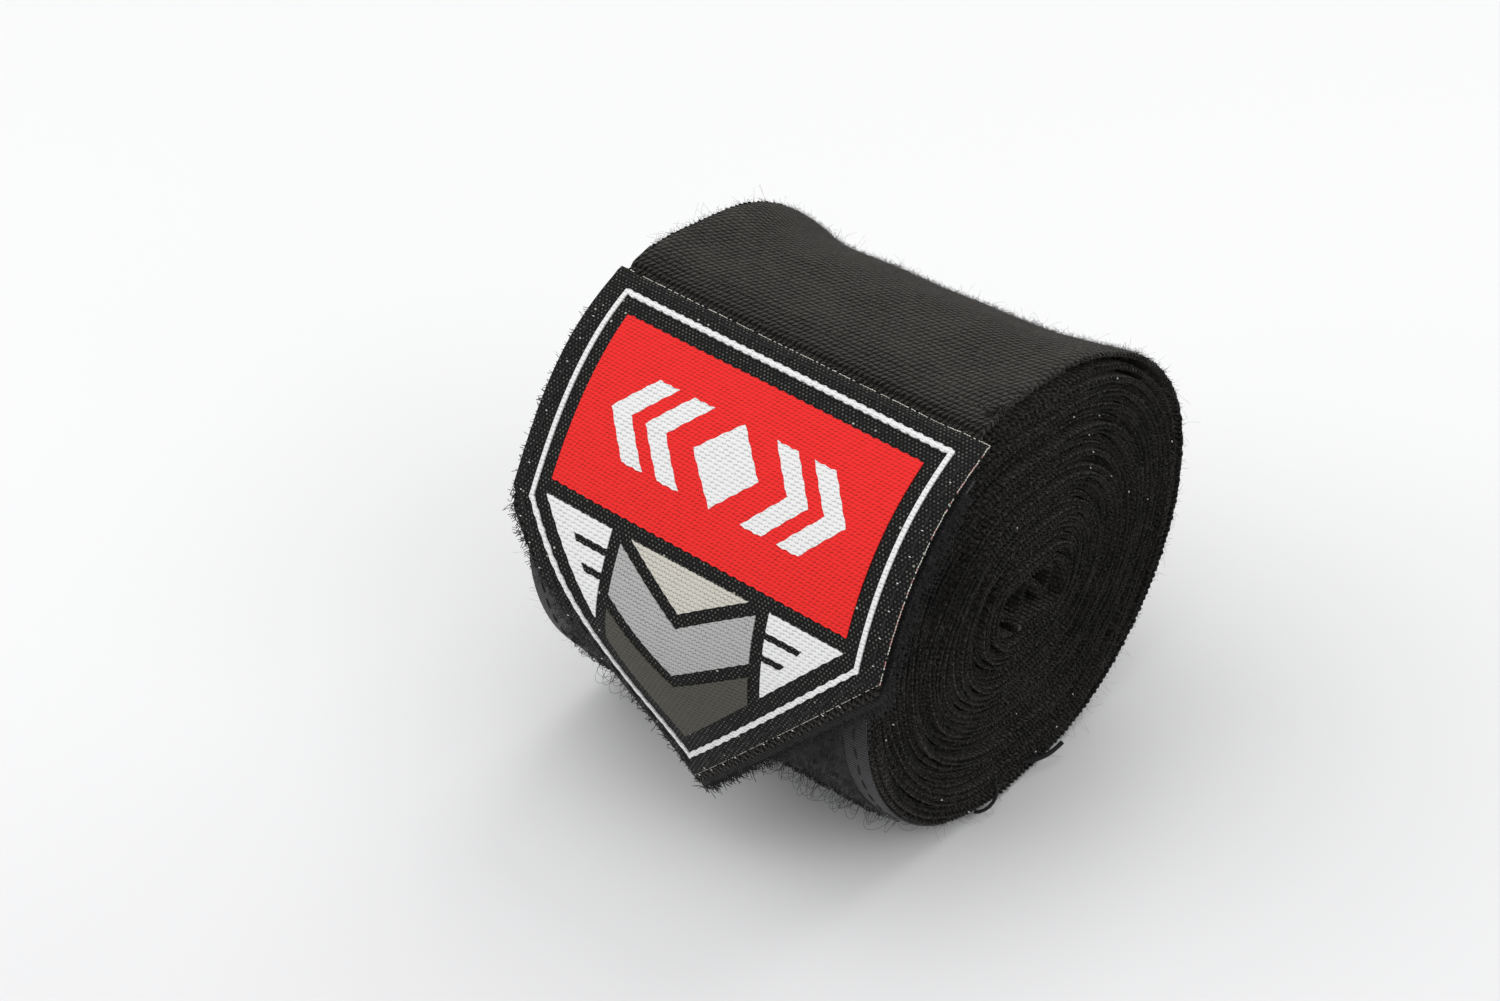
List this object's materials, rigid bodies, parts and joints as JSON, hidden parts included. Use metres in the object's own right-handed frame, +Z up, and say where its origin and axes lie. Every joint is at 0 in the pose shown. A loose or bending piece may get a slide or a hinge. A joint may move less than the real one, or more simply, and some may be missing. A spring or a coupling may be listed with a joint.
{
  "type": "hand wrap",
  "caption": "Long black elastic cotton hand wrap, rolled up on its side and closed by a hook and loop tab with a shield-shaped woven label.",
  "frame": {"origin": "middle of the flat stretch that the roll rests on", "axes": "+X along the roll's axis, -Y towards the side with the label, +Z up"},
  "size_m": [0.054, 0.0641, 0.0543],
  "materials": {
    "band_cotton": "matte charcoal elastic cotton weave with soft fuzz",
    "tab_cotton": "matte charcoal elastic cotton weave",
    "black_thread": "twisted polyester sewing thread, slight sheen",
    "loop_tape_weave": "ribbed woven nylon tape, satin",
    "loop_pile": "brushed nylon loop pile",
    "hook_tape_weave": "woven nylon tape",
    "hook_nylon": "nylon hooks",
    "label_black": "fine satin-woven polyester ground",
    "label_white": "raised white label thread with a silky sheen",
    "label_red": "raised red label thread with a silky sheen",
    "label_cream": "raised cream label thread",
    "label_silver": "raised silver-grey label thread",
    "label_olive": "raised dark olive label thread"
  },
  "bodies": {
    "roll": {"thumb_loop": "band_cotton", "wrap_band": "band_cotton", "thumb_loop_tack": "black_thread", "loop_tape_base": "loop_tape_weave", "loop_tape_pile": "loop_pile", "loop_tape_side_seams": "black_thread", "loop_tape_end_seams": "black_thread", "loose_thread_loop": "black_thread", "loose_thread_end": "black_thread"},
    "tab": {"tab_cloth": "tab_cotton", "hook_tape_base": "hook_tape_weave", "hook_rows": "hook_nylon", "label_ground": "label_black", "label_border": "label_white", "label_red_panel": "label_red", "label_white_motif": "label_white", "label_corner_wedges": "label_white", "label_cream_band": "label_cream", "label_silver_band": "label_silver", "label_olive_band": "label_olive", "label_top_seam": "black_thread", "label_edge_seams": "black_thread"}
  },
  "joints": [
    {"name": "tab_peel", "type": "hinge", "parent": "roll", "child": "tab", "pos_m": [0, -0.01132, 0.0531], "axis": [-1, 0, 0], "range_deg": [0, 100]}
  ]
}
